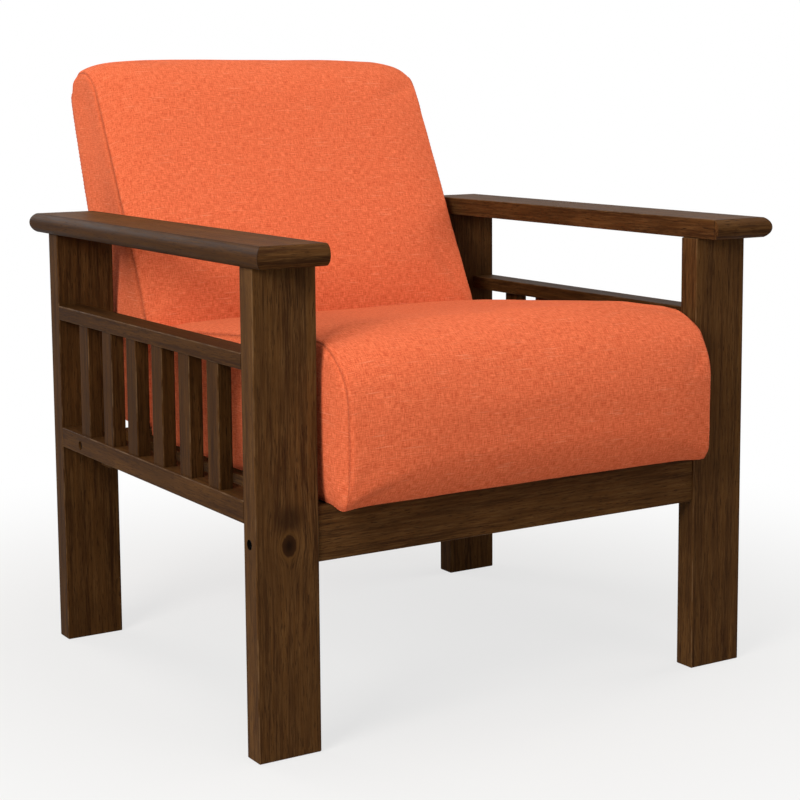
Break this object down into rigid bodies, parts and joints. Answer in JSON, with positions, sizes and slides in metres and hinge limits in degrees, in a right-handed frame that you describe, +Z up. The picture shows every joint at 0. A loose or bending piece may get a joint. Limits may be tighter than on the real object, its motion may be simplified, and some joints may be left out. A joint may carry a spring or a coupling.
{
  "type": "accent chair",
  "caption": "Low armchair with a dark wooden frame of flat legs, broad arms and slatted sides, a thick upholstered seat and a leaning upholstered back.",
  "frame": {"origin": "on the floor, under the middle of the chair's box", "axes": "+Z up, -Y to the front of the chair, +X to the right as seen from the front"},
  "size_m": [0.7, 0.7558, 0.7523],
  "materials": {
    "walnut_stained_wood": "satin lacquer over dark walnut stain",
    "orange_upholstery": "woven linen-look polyester with slubs",
    "foam": "open-cell foam",
    "black_felt": "non-woven felt",
    "elastic_webbing": "woven elastic",
    "zinc_plated_steel": "dull plated",
    "spring_steel": "oiled wire",
    "beech_dowel": "plain",
    "frame_softwood": "sawn"
  },
  "bodies": {
    "root": {"armrest_dowels": "beech_dowel", "armrest_left": "walnut_stained_wood", "armrest_right": "walnut_stained_wood", "back_base_board": "frame_softwood", "back_bolts": "zinc_plated_steel", "back_cover": "orange_upholstery", "back_foam": "foam", "back_frame_middle_rail": "frame_softwood", "back_frame_stile_left": "frame_softwood", "back_frame_stile_right": "frame_softwood", "back_frame_top_rail": "frame_softwood", "back_leg_left": "walnut_stained_wood", "back_leg_right": "walnut_stained_wood", "back_tee_nuts": "zinc_plated_steel", "back_webbing": "elastic_webbing", "barrel_nuts": "zinc_plated_steel", "frame_bolt_washers": "zinc_plated_steel", "frame_bolts": "zinc_plated_steel", "front_apron": "walnut_stained_wood", "front_leg_left": "walnut_stained_wood", "front_leg_right": "walnut_stained_wood", "lower_side_rail_left": "walnut_stained_wood", "lower_side_rail_right": "walnut_stained_wood", "rear_seat_rail": "walnut_stained_wood", "seat_corner_blocks": "frame_softwood", "seat_cover": "orange_upholstery", "seat_dust_cover": "black_felt", "seat_foam": "foam", "seat_frame_front_rail": "frame_softwood", "seat_frame_rear_rail": "frame_softwood", "seat_frame_side_rail_left": "frame_softwood", "seat_frame_side_rail_right": "frame_softwood", "seat_screws": "zinc_plated_steel", "seat_spring_clips": "spring_steel", "seat_spring_pad": "black_felt", "seat_springs": "spring_steel", "seat_support_rail_left": "walnut_stained_wood", "seat_support_rail_right": "walnut_stained_wood", "side_rail_dowels": "beech_dowel", "side_slat_left_1": "walnut_stained_wood", "side_slat_left_2": "walnut_stained_wood", "side_slat_left_3": "walnut_stained_wood", "side_slat_left_4": "walnut_stained_wood", "side_slat_left_5": "walnut_stained_wood", "side_slat_left_6": "walnut_stained_wood", "side_slat_right_1": "walnut_stained_wood", "side_slat_right_2": "walnut_stained_wood", "side_slat_right_3": "walnut_stained_wood", "side_slat_right_4": "walnut_stained_wood", "side_slat_right_5": "walnut_stained_wood", "side_slat_right_6": "walnut_stained_wood", "support_rail_dowels": "beech_dowel", "upper_side_rail_left": "walnut_stained_wood", "upper_side_rail_right": "walnut_stained_wood"}
  },
  "joints": []
}
